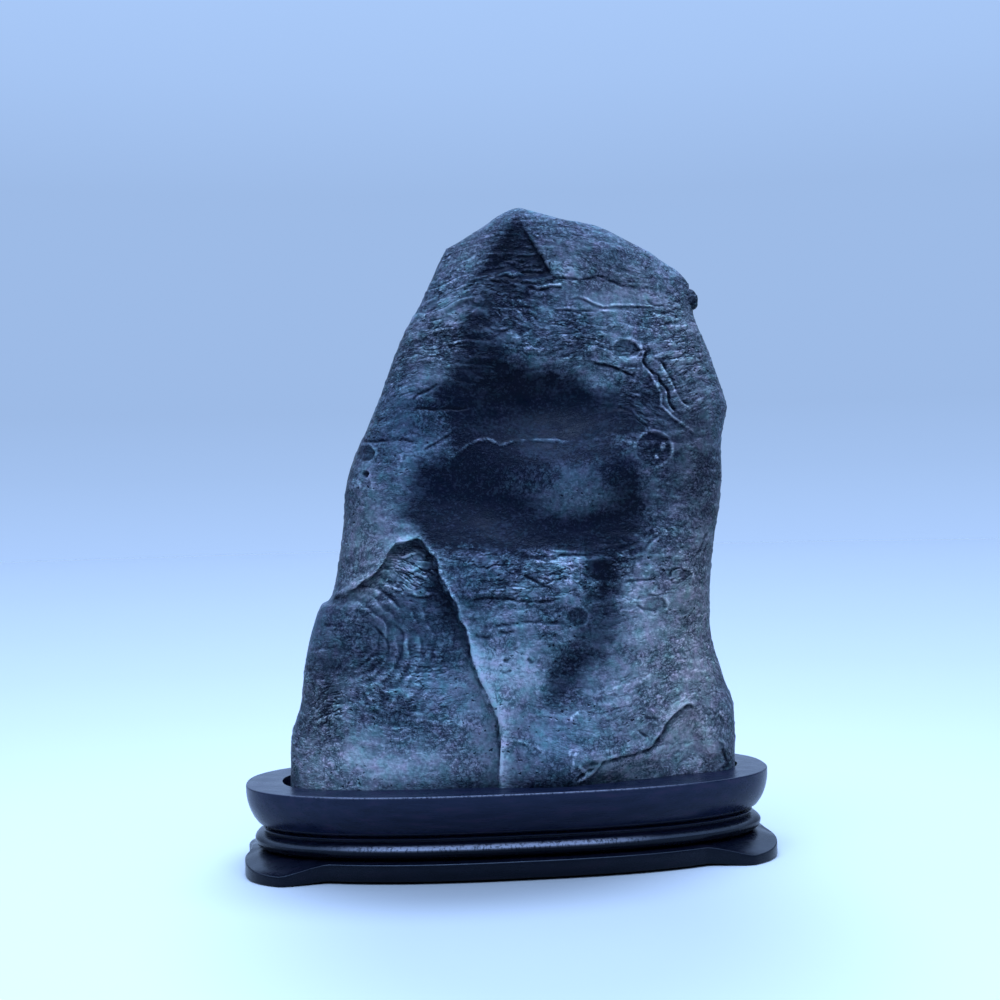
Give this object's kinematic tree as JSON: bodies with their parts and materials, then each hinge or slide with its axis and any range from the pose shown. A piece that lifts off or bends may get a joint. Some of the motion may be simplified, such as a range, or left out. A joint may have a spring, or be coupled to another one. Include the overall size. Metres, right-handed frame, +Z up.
{
  "type": "scholars rock",
  "caption": "Tall dark slate-grey scholar's rock shaped like a mountain peak, standing in the shallow seat of a low oval carved hardwood stand with corner feet.",
  "frame": {"origin": "on the floor, under the middle of the stand", "axes": "+Z up, +X along the stand's long side to the right of a viewer who faces the front of the stone, -Y towards that viewer"},
  "size_m": [0.1604, 0.072, 0.1986],
  "materials": {
    "slate": "matt, water-worn, faintly waxed",
    "rosewood": "satin dark lacquer"
  },
  "bodies": {
    "root": {"stone": "slate", "stand": "rosewood"}
  },
  "joints": []
}
